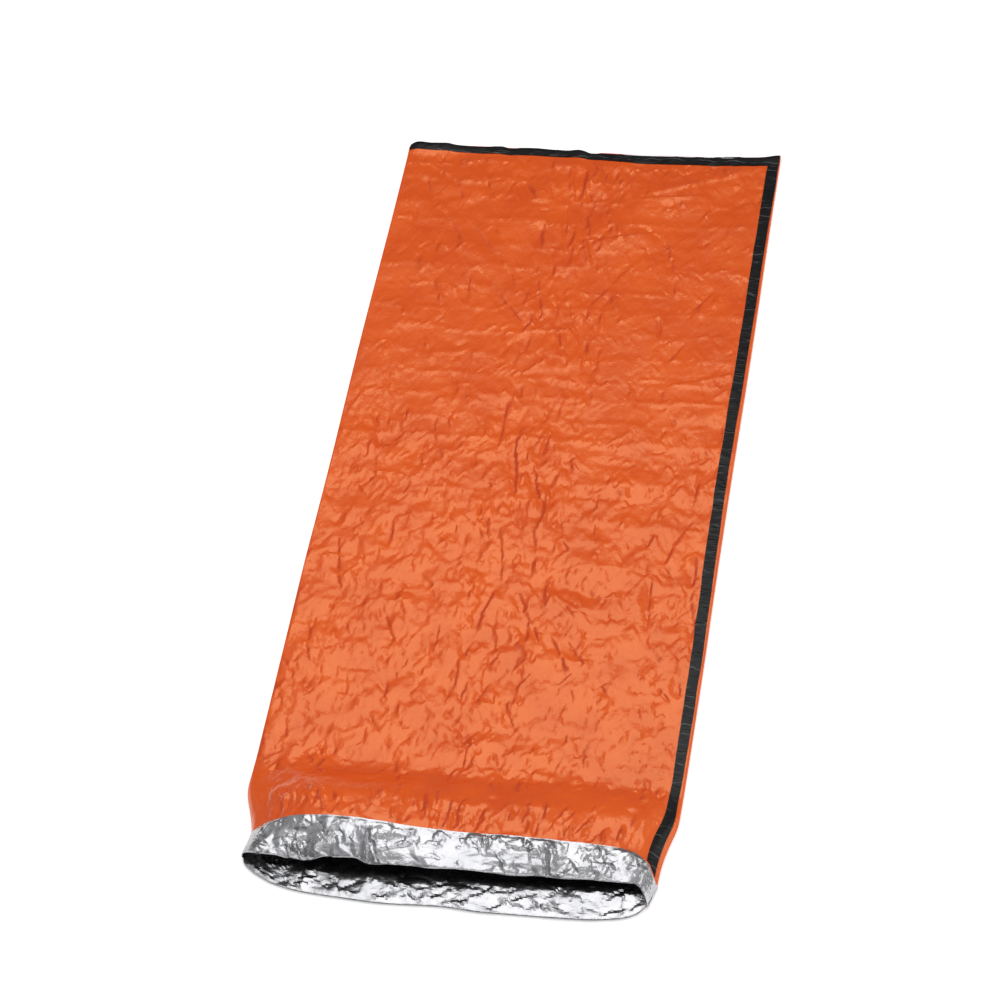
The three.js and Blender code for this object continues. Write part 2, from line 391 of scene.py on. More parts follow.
class Relief:
    """Heights over a sheet of film, on a lattice of its own flat coordinates"""

    def __init__(self, xs, ys, wander, wander_size, seed):
        self.xs = np.asarray(xs, float)
        self.ys = np.asarray(ys, float)
        self.x, self.y = np.meshgrid(self.xs, self.ys)
        self.height = np.zeros_like(self.x)
        self.wander = wander
        self.warped_x = self.x + wander * noise(self.x, self.y, wander_size, seed)
        self.warped_y = self.y + wander * noise(self.x, self.y, wander_size, seed + 1)

    def block(self, x0, x1, y0, y1):
        """The part of the lattice inside a box"""
        rows = np.nonzero((self.ys >= y0) & (self.ys <= y1))[0]
        columns = np.nonzero((self.xs >= x0) & (self.xs <= x1))[0]
        if not len(rows) or not len(columns):
            return None
        return slice(rows[0], rows[-1] + 1), slice(columns[0], columns[-1] + 1)

    def crease(self, x0, y0, x1, y1, height, left, right):
        """A ridge, or a trough where height is under 0, with its own width on each side"""
        reach = max(left, right) + self.wander
        (left_x, right_x), (near_y, far_y) = sorted((x0, x1)), sorted((y0, y1))
        block = self.block(left_x - reach, right_x + reach, near_y - reach, far_y + reach)
        length = math.hypot(x1 - x0, y1 - y0)
        if block is None or length == 0:
            return
        along = np.array([x1 - x0, y1 - y0]) / length
        dx, dy = self.warped_x[block] - x0, self.warped_y[block] - y0
        way = dx * along[0] + dy * along[1]
        side = dx * along[1] - dy * along[0]
        taper = np.sqrt(np.clip(1 - np.abs(2 * way / length - 1) ** 3, 0, 1))
        width = np.where(side < 0, left, right) * (0.5 + 0.5 * taper)
        tent = np.clip(1 - np.abs(side) / width, 0, 1)
        self.height[block] += height * taper * tent

    def scatter(self, box, count, angle, spread, length, height, width, seed):
        """Random creases in a box. The angle is from the x direction, in degrees"""
        random = np.random.default_rng(seed)
        for _ in range(count):
            x, y = random.uniform(box[0], box[1]), random.uniform(box[2], box[3])
            turn = math.radians(angle + spread * random.normal())
            half = length * random.uniform(0.5, 1.3) / 2
            dx, dy = half * math.cos(turn), half * math.sin(turn)
            way = random.choice([-1, 1])
            lean = random.uniform(-0.6, 0.6)
            rise = way * height * random.uniform(0.4, 1.3)
            self.crease(x - dx, y - dy, x + dx, y + dy, rise, width * (1 + lean), width * (1 - lean))

    def facets(self, step_x, step_y, height, seed, slant=0):
        """Heights of flat facets between scattered points, as crumpled film has"""
        loose = 0.42
        random = np.random.default_rng(seed)
        spots = []
        for row, y in enumerate(np.arange(self.ys.min() - step_y, self.ys.max() + 2 * step_y, step_y)):
            for x in np.arange(self.xs.min() - step_x, self.xs.max() + 2 * step_x, step_x):
                shift = step_x / 2 * (row % 2)
                spot_x = x + shift + step_x * random.uniform(-loose, loose)
                spot_y = y + step_y * random.uniform(-loose, loose) + slant * ((x / step_x) % 4 - 1.5)
                spots.append((spot_x, spot_y))
        heights = random.uniform(-height, height, len(spots))
        found = delaunay_2d_cdt([Vector(spot) for spot in spots], [], [], 0, 1e-6)
        result = np.zeros_like(self.height)
        for a, b, c in found[2]:
            corners = np.array([found[0][i][:] for i in (a, b, c)])
            least, most = corners.min(axis=0), corners.max(axis=0)
            block = self.block(least[0], most[0], least[1], most[1])
            if block is None:
                continue
            (ax, ay), (bx, by), (cx, cy) = corners
            whole = (bx - ax) * (cy - ay) - (cx - ax) * (by - ay)
            px, py = self.x[block] - ax, self.y[block] - ay
            second = (px * (cy - ay) - (cx - ax) * py) / whole
            third = ((bx - ax) * py - px * (by - ay)) / whole
            inside = (second >= -1e-9) & (third >= -1e-9) & (second + third <= 1 + 1e-9)
            ha, hb, hc = (heights[found[3][i][0]] for i in (a, b, c))
            result[block] = np.where(inside, ha + second * (hb - ha) + third * (hc - ha), result[block])
        return result


# Places across the bag are shares of its half width, from -1 at the left fold to 1 at the right one
def half_width(share, y):
    left, right = SIDE_WANDER_LENGTHS
    wander = np.where(share < 0, np.sin(y / left), np.sin(y / right + 1))
    bow = np.where(share < 0, curve(SIDE_BOW, "left", y), curve(SIDE_BOW, "right", y))
    return HALF_WIDTH - SIDE_WANDER * (1 - wander) + bow


def mouth_column(share):
    """The place in the mouth's table for a share across"""
    left, *_, right = MOUTH_TOP["x"]
    return share * np.where(share < 0, -left, right)


def mouth_read(share, name):
    return curve(MOUTH_TOP, name, mouth_column(share))


def at_fold(name, share):
    """A value of the mouth's table at the left fold or the right one, by the share's sign"""
    return np.where(share < 0, MOUTH_TOP[name][0], MOUTH_TOP[name][-1])


def shares_across(step):
    """Columns across the bag, closer together near the two folds"""
    half = HALF_WIDTH - SIDE_INSET
    middle = np.linspace(-half, half, round(2 * half / step))
    left = [-HALF_WIDTH + distance for distance in EDGE_DISTANCES]
    right = [HALF_WIDTH - distance for distance in reversed(EDGE_DISTANCES)]
    return np.concatenate([left, middle, right]) / HALF_WIDTH


def foot_lift(x, back):
    return curve(FOOT_EDGE, "lift", x) * np.exp(-((back / LIFT_REACH) ** 2))


def foot_y(x, back):
    fade = np.clip(1 - back / FOOT_EASE, 0, 1) ** 2
    return LENGTH - back + curve(FOOT_EDGE, "out", x) * fade


def flat_top(share, back):
    """Points of the upper film where the bag is flat, at a distance back from the foot"""
    x = share * half_width(share, LENGTH - back)
    from_side = np.clip((1 - np.abs(share)) * HALF_WIDTH / SIDE_ROUND, 0, 1)
    rounding = np.sqrt(1 - (1 - from_side) ** 2)
    height = (FLAT_TOP - FOLD_TIP) * rounding * ease(back + FOOT_START, 0, FOOT_ROUND)
    return np.stack([x, foot_y(x, back), FOLD_TIP + height + foot_lift(x, back)], -1)


def flat_bottom(share, back, height):
    x = share * half_width(share, LENGTH - back)
    return np.stack([x, foot_y(x, back), height + foot_lift(x, back)], -1)


def rise_top(share, way):
    """Points of the upper film on its way up to the cuff's raw edge"""
    y = lerp(MOUTH_START, mouth_read(share, "edge_y"), way)
    start_x = share * half_width(share, y)
    edge_x = mouth_read(share, "edge_x")
    x = lerp(start_x, edge_x, ease(way, *EDGE_TURN))
    rise = curve(MOUTH_RISE, "rise", way)
    start_z = flat_top(share, LENGTH - MOUTH_START + 0 * share)[..., 2]
    z = lerp(start_z, mouth_read(share, "edge_z") - CUFF_STACK, rise)
    return np.stack([x, y, z], -1)


def cuff_top(share, way):
    """Points of the upper film under the cuff, from the raw edge to the lip"""
    x = lerp(mouth_read(share, "edge_x"), mouth_read(share, "lip_x"), way)
    y = lerp(mouth_read(share, "edge_y"), mouth_read(share, "lip_y"), way)
    edge_z = mouth_read(share, "edge_z")
    bulge = curve(CUFF_BULGE, "bulge", way) * ease(edge_z, *BULGE_HEIGHTS)
    return np.stack([x, y, lerp(edge_z, mouth_read(share, "lip_z"), way) - CUFF_STACK + bulge], -1)


# The lower lip from above, with how far along it each place is
LIP_X = np.linspace(MOUTH_BOTTOM["x"][0], MOUTH_BOTTOM["x"][-1], 4001)
LIP_Y = curve(MOUTH_BOTTOM, "y", LIP_X)
LIP_RUN = np.concatenate([[0], np.cumsum(np.hypot(np.diff(LIP_X), np.diff(LIP_Y)))])


def lower_lip(share):
    """Places on the lower lip from above, set in by half of the lip's roll"""
    run = (share + 1) / 2 * LIP_RUN[-1]
    x, y = np.interp(run, LIP_RUN, LIP_X), np.interp(run, LIP_RUN, LIP_Y)
    ahead = np.clip(run + LIP_SPAN, 0, LIP_RUN[-1])
    behind = np.clip(run - LIP_SPAN, 0, LIP_RUN[-1])
    dx = np.interp(ahead, LIP_RUN, LIP_X) - np.interp(behind, LIP_RUN, LIP_X)
    dy = np.interp(ahead, LIP_RUN, LIP_Y) - np.interp(behind, LIP_RUN, LIP_Y)
    ends = ease(run, 0, LIP_END) * ease(LIP_RUN[-1] - run, 0, LIP_END)
    inset = LIP_INSET * ends / np.hypot(dx, dy)
    return x - dy * inset, y + dx * inset


def corner_lift(share, fold_z, base_z):
    """How far the lower film climbs near each side to meet the upper film at the fold"""
    from_side = (1 - np.abs(share)) / 2 * LIP_RUN[-1]
    return np.maximum(fold_z - base_z, 0) * np.clip(1 - from_side / CORNER_REACH, 0, 1) ** 2


def rise_bottom(share, way, height):
    """Points of the lower film from the flat bag to the cuff's raw edge"""
    y_side = lerp(MOUTH_START, at_fold("edge_y", share), way)
    start_x = share * half_width(share, y_side)
    end_x, end_y = cuff_bottom_place(share, 0)
    x = lerp(start_x, end_x, ease(way, *EDGE_TURN))
    y = lerp(MOUTH_START, end_y, way)
    return np.stack([x, y, height + 0 * y], -1)


def cuff_bottom_place(share, way):
    """The lower film from above between the raw edge and the lip. Its sides follow the upper film's."""
    lip_x, lip_y = lower_lip(share)
    side = np.abs(share) ** 6
    shift_x = (at_fold("edge_x", share) - at_fold("lip_x", share)) * side
    shift_y = lerp(LOWER_CUFF, at_fold("edge_y", share) - at_fold("lip_y", share), side)
    return lip_x + shift_x * (1 - way), lip_y + shift_y * (1 - way)


def cuff_bottom(share, way, height):
    x, y = cuff_bottom_place(share, way)
    fold_z = lerp(at_fold("edge_z", share), at_fold("lip_z", share), way) - CUFF_STACK
    lift = corner_lift(share, fold_z, height)
    return np.stack([x, y, height + lift], -1)


def normals(points):
    """Upward directions square to a grid of points, whose rows run to the mouth and columns to the right"""
    down, across = np.gradient(points, axis=0), np.gradient(points, axis=1)
    normal = np.cross(down, across)
    normal /= np.linalg.norm(normal, axis=-1, keepdims=True)
    normal[:, 0] = (-1, 0, 0)
    normal[:, -1] = (1, 0, 0)
    return normal


def grid(function, shares, rows, *extra):
    """A function of share and row over all rows and columns"""
    share, row = np.meshgrid(shares, rows)
    return function(share, row, *extra)


def lower_columns(step):
    """Shares across the lower film, at even steps along the front of the mouth"""
    return np.linspace(-1, 1, round(LIP_RUN[-1] / step) + 1)


# Relief of the orange film

# Main creases: ends, height over or under the film, and widths to the left and right from the first end
CREASES = table(
    """
    x0 y0 x1 y1 height left right
    -4 2080 -4 1915 -1.2 8 14
    -5 1915 -5 1765 -1.8 8 10
    -5 1765 -10 1585 -1.8 12 8
    -35 1960 -20 1850 -1.6 9 9
    -20 1850 5 1630 -1.4 8 12
    -260 1890 -140 1745 -1.7 7 16
    -140 1745 -125 1695 -1.5 8 8
    -215 1745 -80 1585 -1.6 7 14
    -395 2025 -370 1970 -1.6 10 18
    -315 2020 -295 1970 -1.6 8 16
    -250 2035 -220 1970 -2.0 10 18
    -155 2030 -115 1975 -2.0 10 20
    -45 2035 -25 1990 -1.6 9 16
    -310 1895 -275 1835 -1.5 7 14
    -210 1890 -175 1840 -1.4 7 14
    -95 1900 -75 1825 -1.8 9 14
    -70 1720 -35 1580 -2.0 9 12
    -30 1895 -25 1820 -1.6 8 8
    -235 1730 -230 1645 -1.8 10 12
    -405 2080 -310 2010 -1.6 10 16
    25 1850 50 1770 1.8 12 14
    140 1915 210 1860 -1.6 8 14
    210 1860 250 1765 -1.8 8 14
    140 1775 60 1645 -1.8 8 14
    345 1720 300 1625 -1.6 8 12
    300 1550 265 1485 -1.5 8 12
    0 1675 60 1555 -1.4 7 10
    60 1555 115 1430 -2.0 9 14
    -20 2060 50 1920 -1.4 8 10
    295 1955 305 1910 -1.4 7 12
    310 1865 325 1770 -1.2 7 10
    120 1985 300 2005 2.4 8 34
    40 1850 190 1885 2.6 8 36
    280 1420 455 1475 1.6 8 14
    420 2097 150 2000 1.8 14 20
    -80 1360 -80 1205 -2.4 14 20
    -45 1255 -20 1080 -2.2 10 14
    10 1170 30 1100 -2.2 12 14
    -235 1300 -235 1255 -1.8 8 10
    -305 1265 -340 1205 -1.8 18 22
    -40 1245 -20 1090 -1.8 8 10
    5 1150 55 1045 -2.0 10 12
    -275 980 -280 920 -1.8 8 12
    -195 1025 -195 990 -1.6 7 10
    -30 965 -10 850 -2.2 8 10
    -10 850 -55 710 -2.2 9 11
    -395 940 -380 845 -2.2 9 12
    -380 845 -350 775 -2.0 9 12
    -370 795 -370 740 -1.8 8 10
    -135 990 -130 945 -1.7 8 10
    -110 970 -120 835 -1.8 14 18
    -10 765 -5 690 -1.8 8 10
    35 820 70 695 -2.2 9 12
    -270 760 -250 705 -1.6 8 10
    -125 725 -130 625 -2.0 8 10
    -350 995 -375 955 -1.6 8 14
    90 1045 105 970 -2.2 9 12
    105 970 125 940 -2.2 9 12
    385 1165 375 1055 -2.4 12 16
    380 1040 335 915 -2.6 12 18
    335 915 365 865 -2.2 10 14
    405 945 405 850 -2.2 10 10
    405 850 430 715 -2.4 9 11
    315 875 325 740 -2.2 9 12
    105 855 215 810 -2.4 20 14
    155 775 275 765 -2.0 18 9
    95 830 190 760 2.2 12 18
    30 820 60 770 -2.2 9 11
    60 770 70 685 -2.2 9 11
    70 750 110 650 -2.0 10 12
    115 710 170 620 -2.6 12 16
    155 695 205 635 -2.0 9 12
    180 580 195 535 -1.8 9 12
    240 600 265 545 -2.0 10 14
    405 620 420 565 -1.8 10 12
    -30 795 -60 625 -2.4 10 12
    5 650 0 550 -1.8 8 9
    -410 700 -405 655 -1.6 8 10
    -220 685 -230 650 -1.8 10 12
    -210 585 -210 515 -2.4 9 10
    -315 450 -320 375 -2.2 9 12
    -240 445 -230 385 -1.6 8 10
    -305 575 -295 520 -1.6 8 10
    -75 585 -80 540 -1.6 8 10
    50 535 85 450 -2.0 9 12
    -5 435 -10 335 -2.0 9 11
    -440 520 -430 465 -1.8 9 12
    -265 775 -225 680 -1.6 9 12
    -290 710 -280 665 -1.5 8 10
    -455 270 -400 320 -2.4 16 20
    """
)

# The seed of the first area below; the others follow it
AREA_SEED = 100

# Random creases by area: its box, how many, direction and its spread in degrees, and their mean sizes
CREASE_AREAS = table(
    """
    x0 x1 y0 y1 count angle spread length height width
    -450 450 300 2110 350 92 30 40 1.0 6
    -450 450 300 1300 900 88 26 44 1.5 5.5
    -90 110 400 2090 300 88 14 70 1.7 8
    -440 425 1150 2080 120 94 14 46 2.1 7
    -440 425 1150 2080 90 40 25 34 1.5 6
    -440 440 2075 2106 200 80 25 22 0.8 5
    90 420 2050 2100 60 120 25 34 1.1 8
    -440 430 150 225 260 86 12 60 2.2 8
    -440 430 290 350 160 70 30 34 1.4 8
    -440 430 200 330 60 90 50 60 2.0 30
    """
)

# Main dents and ridges of the cuff's face, with y from the raw edge to the lip
CUFF_CREASES = table(
    """
    x0 y0 x1 y1 height left right
    -352 40 -262 28 -4.0 9 12
    -400 62 -366 66 -3.0 8 10
    -300 84 -258 52 3.0 14 10
    -300 84 -335 50 2.5 10 14
    -275 70 -215 58 -3.2 14 14
    -172 22 -166 84 -6.0 8 14
    -190 20 -184 84 4.0 16 8
    -150 60 -80 40 3.0 10 14
    -60 20 20 34 -3.0 9 14
    40 66 130 52 -3.0 9 12
    212 10 222 84 -4.5 7 12
    228 8 236 84 3.5 8 14
    300 50 372 40 -3.2 10 14
    120 20 190 30 2.6 9 14
    -430 20 -380 70 3.5 10 12
    """
)


def fold_heights(relief):
    """The film leans up and down in turn between its folds across, by an uneven amount"""
    y = relief.y + sum(height * np.sin(relief.x / length + start) for height, length, start in FOLD_WANDER)
    index = np.clip(np.searchsorted(FOLD_LINES, y.ravel()) - 1, 0, len(FOLD_LINES) - 2).reshape(y.shape)
    share = np.clip((y - FOLD_LINES[index]) / (FOLD_LINES[index + 1] - FOLD_LINES[index]), 0, 1)
    strength = lerp(*FOLD_STRENGTHS, ease(relief.y, *FOLD_STRENGTH_CHANGE))

    def height(number):
        way = np.where(number % 2 == 0, 1, -1)
        patches = noise(relief.x + FOLD_SHIFT * number, 0 * relief.x, FOLD_PATCH, 5)
        return way * (FOLD_LEAN + FOLD_LEAN_SPREAD * patches)

    return strength * lerp(height(index), height(index + 1), share)


def fold_creases(relief, seed):
    """Broken creases along the folds across, with short wrinkles that fan out from them"""
    random = np.random.default_rng(seed)
    for line in FOLD_LINES:
        x = -FOLD_HALF
        while x < FOLD_HALF:
            length = random.uniform(30, 110)
            y = line + random.uniform(-4, 4)
            ridge = line > RIDGES_FROM
            rise = random.uniform(0.2, 1.2) if ridge else random.uniform(-1.0, 0.7)
            widths = RIDGE_WIDTHS if ridge else DENT_WIDTHS
            relief.crease(x, y, x + length, y + random.uniform(-5, 5), rise, *widths)
            x += length * random.uniform(0.7, 1.4)
        x = -FAN_HALF
        while x < FAN_HALF:
            end = x + random.uniform(25, 120)
            side = random.choice([-1, 1])
            lean = random.choice([-1, 1]) * random.uniform(4, 30)
            reach = random.uniform(12, 32)
            way = 1 if ridge else random.choice([-1, 1])
            while x < min(end, FAN_HALF):
                tip = side * reach * random.uniform(0.5, 1.1)
                rise = way * random.uniform(0.5, 1.3)
                tip_x = x + lean * random.uniform(0.6, 1.4)
                relief.crease(x, line + side, tip_x, line + tip, rise, *FAN_WIDTHS)
                x += random.uniform(6, 15)
            x += random.uniform(0, 30)


def film_relief(xs, ys):
    """The orange film's folds, broad waves, facets of three sizes and creases"""
    relief = Relief(xs, ys, wander=3, wander_size=55, seed=11)
    relief.height += fold_heights(relief)
    waves = (height * noise(relief.x, relief.y, size, seed) for height, size, seed in BROAD_WAVES)
    relief.height += sum(waves)
    strength = CRUMPLED["everywhere"] + CRUMPLED["near"] * ease(-relief.y, *CRUMPLED_NEAR)
    strength += CRUMPLED["middle"] * np.exp(-(((relief.x - CRUMPLED_MIDDLE) / CRUMPLED_MIDDLE_WIDTH) ** 2))
    strength += CRUMPLED["foot"] * ease(relief.y, *CRUMPLED_FOOT)
    strength = np.clip(strength, 0, CRUMPLED["most"])
    relief.height += relief.facets(step_x=70, step_y=58, height=1.6, seed=33)
    relief.height += strength * relief.facets(step_x=27, step_y=34, height=1.6, seed=31, slant=6)
    relief.height += strength * relief.facets(step_x=13, step_y=19, height=0.75, seed=32, slant=4)
    for *ends, height, left, right in zip(*CREASES.values()):
        sizes = (height * MAIN_CREASE["height"], left * MAIN_CREASE["left"], right * MAIN_CREASE["right"])
        relief.crease(*ends, *sizes)
    fold_creases(relief, 71)
    for seed, (*box, count, angle, spread, length, height, width) in enumerate(zip(*CREASE_AREAS.values())):
        relief.scatter(box, int(count), angle, spread, length, height, width, AREA_SEED + seed)
    return relief


class Skin:
    """A closed mesh, gathered ring by ring. Each ring has an upper and a lower chain with shared ends."""

    def __init__(self):
        self.points = []
        self.count = 0
        self.triangles = []
        self.maps = []
        self.slots = []

    def add(self, points):
        self.points.append(np.asarray(points, float))
        self.count += len(points)
        return np.arange(self.count - len(points), self.count)

    def ring(self, top, bottom):
        """Adds a ring. The lower chain's own end points are left out for the upper chain's."""
        upper = self.add(top)
        inner = self.add(bottom[1:-1])
        lower = np.concatenate([upper[:1], inner, upper[-1:]])
        return {"top": upper, "bottom": lower}

    def rings(self, pairs):
        return [self.ring(top, bottom) for top, bottom in pairs]

    def faces(self, triangles, corners, slot):
        self.triangles.append(triangles)
        self.maps.append(corners)
        self.slots.append(np.full(len(triangles), slot))

    def strip(self, first, second, rows, area, slot, flip):
        """Triangles between two chains that need not have the same number of points"""
        i, j = 0, 0
        n, m = len(first) - 1, len(second) - 1
        triangles, corners = [], []
        low, high = (area[1] + (area[3] - area[1]) * row for row in rows)

        def spot(count, index, v):
            return (area[0] + (area[2] - area[0]) * index / count, v)

        if n == m:
            steps = [k % 2 for k in range(2 * n)]
        else:
            places = [((k + 0.5) / n, 0) for k in range(n)] + [((k + 0.5) / m, 1) for k in range(m)]
            steps = [kind for _, kind in sorted(places)]
        for kind in steps:
            if kind == 0:
                triangles.append((first[i], second[j], first[i + 1]))
                corners.append((spot(n, i, low), spot(m, j, high), spot(n, i + 1, low)))
                i += 1
            else:
                triangles.append((first[i], second[j], second[j + 1]))
                corners.append((spot(n, i, low), spot(m, j, high), spot(m, j + 1, high)))
                j += 1
        triangles, corners = np.array(triangles), np.array(corners)
        if flip:
            triangles, corners = triangles[:, ::-1], corners[:, ::-1]
        self.faces(triangles, corners, slot)

    def join(self, first, second, rows, areas, slot):
        """Faces between two rings, in the map's areas for the upper and the lower film"""
        self.strip(first["top"], second["top"], rows, areas[0], slot, flip=False)
        self.strip(first["bottom"], second["bottom"], rows, areas[1], slot, flip=True)

    def sweep(self, rings, areas, slot):
        """Faces between a run of rings"""
        last = len(rings) - 1
        even = len({len(ring["top"]) for ring in rings}) == 1
        if even:
            self.weave(rings, areas[0], slot)
        for k in range(last):
            rows = (k / last, (k + 1) / last)
            if not even:
                self.strip(rings[k]["top"], rings[k + 1]["top"], rows, areas[0], slot, flip=False)
            self.strip(rings[k]["bottom"], rings[k + 1]["bottom"], rows, areas[1], slot, flip=True)

    def weave(self, rings, area, slot):
        """Faces between upper chains that all have as many points. Each cell is cut along the diagonal
        that lies closer to the surface around it."""
        index = np.array([ring["top"] for ring in rings])
        place = np.concatenate(self.points)[index]
        wide = np.pad(place, ((1, 1), (1, 1), (0, 0)), mode="edge")
        middle = 0.5625 * (wide[1:-2] + wide[2:-1]) - 0.0625 * (wide[:-3] + wide[3:])
        middle = 0.5625 * (middle[:, 1:-2] + middle[:, 2:-1]) - 0.0625 * (middle[:, :-3] + middle[:, 3:])
        rows, count = index.shape
        across, along = np.linspace(area[0], area[2], count), np.linspace(area[1], area[3], rows)
        spot = np.stack(np.meshgrid(across, along), -1)

        def corners(values):
            return values[:-1, :-1], values[:-1, 1:], values[1:, :-1], values[1:, 1:]

        def gap(one, other):
            return np.linalg.norm((one + other) / 2 - middle, axis=-1)

        a, b, c, d = corners(place)
        first = gap(a, d) < gap(b, c)
        for cells, order in ((first, ((0, 2, 3), (0, 3, 1))), (~first, ((0, 2, 1), (1, 2, 3)))):
            for triple in order:
                triangles = np.stack([corners(index)[k][cells] for k in triple], -1)
                self.faces(triangles, np.stack([corners(spot)[k][cells] for k in triple], 1), slot)

    def cap(self, ring, area, slot, flip):
        self.strip(ring["top"], ring["bottom"], (0, 1), area, slot, flip)

    def mesh(self, name):
        points = np.concatenate(self.points)
        triangles = np.concatenate(self.triangles)
        mesh = bpy.data.meshes.new(name)
        mesh.from_pydata(to_frame(points).tolist(), [], triangles.tolist())
        layer = mesh.uv_layers.new(name="OFBake")
        layer.data.foreach_set("uv", np.concatenate(self.maps).astype(np.float32).ravel())
        mesh.polygons.foreach_set("material_index", np.concatenate(self.slots).astype(np.int32))
        mesh.polygons.foreach_set("use_smooth", np.ones(len(triangles), bool))
        return mesh


def to_frame(points):
    """From the bag's own directions in millimetres to the frame's metres"""
    return (np.asarray(points) - (0, LENGTH / 2, 0)) / 1000


# Parts of the film's map: left, bottom, right, top
MAP_ORANGE = [(0.0, 0.0, 0.455, 1.0), (0.465, 0.5, 0.68, 1.0)]
MAP_HIDDEN = [(0.465, 0.45, 0.70, 0.475), (0.465, 0.48, 0.70, 0.495)]
MAP_CUFF = [(0.465, 0.365, 0.995, 0.43), (0.72, 0.45, 0.995, 0.49)]
MAP_LIP = [(0.465, 0.34, 0.995, 0.355), (0.465, 0.32, 0.995, 0.335)]
MAP_MOUTH = [(0.465, 0.005, 0.995, 0.10), (0.465, 0.11, 0.995, 0.31)]
MAP_INSIDE = [(0.69, 0.5, 0.84, 1.0), (0.85, 0.5, 0.995, 1.0)]
MAP_RIM = (0.465, 0.438, 0.70, 0.444)

ORANGE, SILVER = 0, 1


def outer_face(columns, backs, ways):
    """Upper and lower points of the outer face from the foot to the raw edge, and the share of painted
    shade where it is steep
    """
    flat_xs = columns * HALF_WIDTH
    flat_ys = np.concatenate([LENGTH - backs, MOUTH_START - ways * RISE_LENGTH])
    base = np.concatenate([grid(flat_top, columns, backs), grid(rise_top, columns, ways)])
    height = film_relief(flat_xs, flat_ys[::-1]).height[::-1]
    from_side = (1 - np.abs(columns)) * HALF_WIDTH
    side_reach = lerp(MOUTH_SIDE_CALM, BAG_SIDE_CALM, ease(flat_ys, *SIDE_CALM_CHANGE))[:, None]
    calm = ease(from_side / side_reach, 0, 1) * ease(LENGTH - flat_ys, *FOOT_CALM)[:, None]
    tape = curve(SIDE_TAPE, "inner", flat_ys)[:, None]
    under_tape = ease(-from_side[None, :], *(edge - tape for edge in TAPE_CALM_EDGE)) * (columns > 0)
    calm = calm * (1 - TAPE_CALM * under_tape)
    near_edge = ease(flat_ys, *RAW_EDGE_CALM)[:, None]
    deepest = lerp(DEEPEST_NEAR_MOUTH, DEEPEST_RELIEF, ease(flat_ys, *DEEPEST_CHANGE))[:, None]
    height = np.maximum(height, deepest) * calm * near_edge
    upper = base + normals(base) * height[..., None]
    slope = np.gradient(height, axis=1) / np.gradient(flat_xs)
    lower_rise = grid(rise_bottom, UNDERSIDE_COLUMNS, ways, 0.0)
    lower_rise[..., 2] = ease(ways, *LOWER_RAMP)[:, None] * CUFF_STACK
    lower = np.concatenate([grid(flat_bottom, UNDERSIDE_COLUMNS, backs, 0.0), lower_rise])
    return upper, lower, ease(slope, *PAINTED_SHADE_SLOPES)


def hidden_turn(columns, few):
    """Upper and lower points of the turn under the cuff, from the raw edge to the lip and back"""
    under = grid(cuff_top, columns, HIDDEN_WAYS)
    over = under + normals(under) * CUFF_GAP
    there = [(top, cuff_bottom(few, way, CUFF_STACK)) for top, way in zip(under, HIDDEN_WAYS)]
    back = [(top, cuff_bottom(few, way, CUFF_GAP)) for top, way in zip(over, HIDDEN_WAYS)]
    return there[1:] + back[::-1]


def cuff_face(columns):
    """Upper points of the cuff's silver face from the raw edge to the lip, by way and by finer columns"""
    fine = np.interp(np.arange(2 * len(columns) - 1) / 2, np.arange(len(columns)), columns)
    ways = np.linspace(0, 1, round(CUFF_LENGTH / CUFF_STEP) + 1)
    base = grid(cuff_top, fine, ways)
    height = cuff_relief(fine * HALF_WIDTH, ways * CUFF_LENGTH)
    return base + normals(base) * (CUFF_STACK + height)[..., None], ways, fine


def flat_inside(shares):
    """Upper and lower points of the inner face of the flat bag, from the mouth to the foot"""
    inside = shares * (1 - INSIDE_INSET / HALF_WIDTH)
    pairs = []
    for back in INSIDE_BACKS:
        top = flat_top(inside, back + 0 * shares)
        top[:, 2] -= lerp(FILM, INNER_DROP, ease(back, 8, 40)) * np.where(np.abs(shares) < 1, 1, 0.9)
        pairs.append((top, flat_bottom(inside, back + 0 * shares, FILM)))
    return pairs


